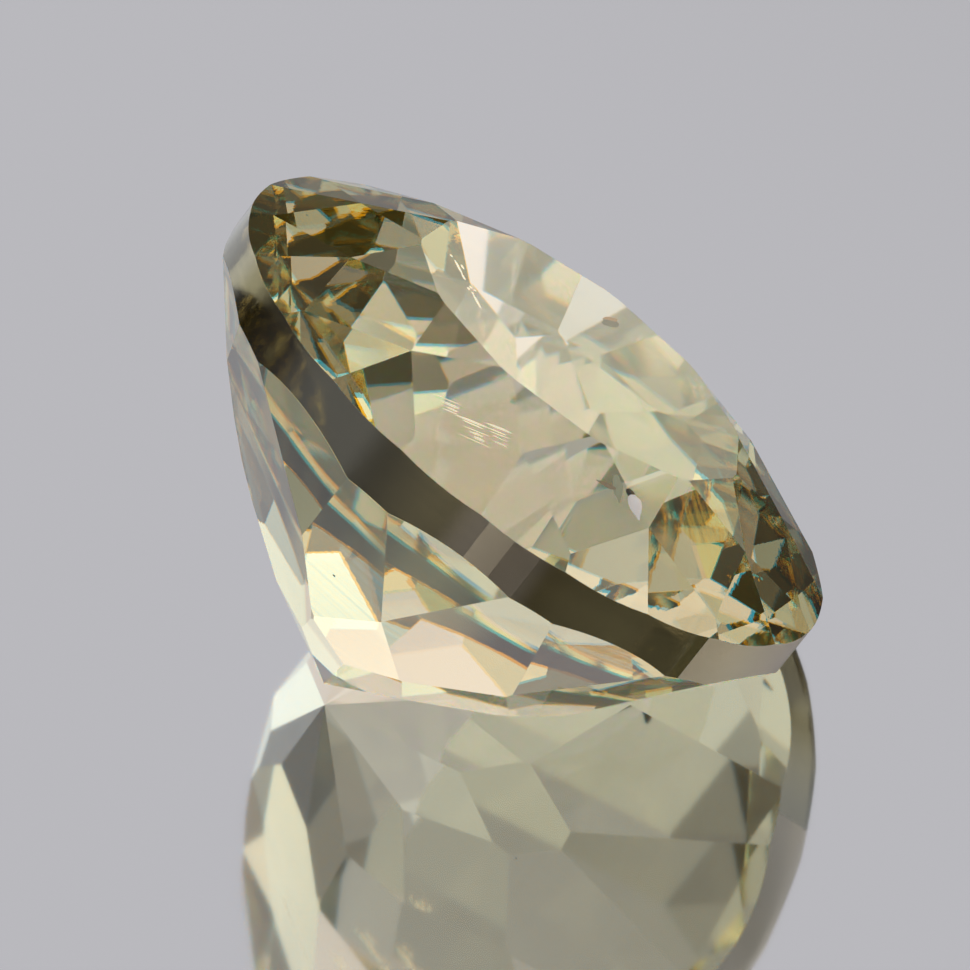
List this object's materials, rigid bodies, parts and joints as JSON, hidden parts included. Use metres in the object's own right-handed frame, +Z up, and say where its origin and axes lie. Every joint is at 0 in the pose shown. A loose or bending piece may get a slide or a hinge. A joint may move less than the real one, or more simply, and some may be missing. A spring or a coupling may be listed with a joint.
{
  "type": "cut diaspore gemstone",
  "caption": "Round cut gemstone of clear pale olive-brown diaspore with a flat table and a deep faceted pavilion, lying on one of its pavilion facets.",
  "frame": {"origin": "on the surface that the stone lies on, under the middle of its bounding box", "axes": "+Z up from that surface; +Y away from the side that shows the pavilion; the table faces up and towards +X"},
  "size_m": [0.0086, 0.0098, 0.0075],
  "materials": {
    "diaspore": "clear pale olive-brown mineral, ground flat and polished on every facet, with a satin ground girdle"
  },
  "bodies": {
    "root": {"cut_stone": "diaspore"}
  },
  "joints": []
}
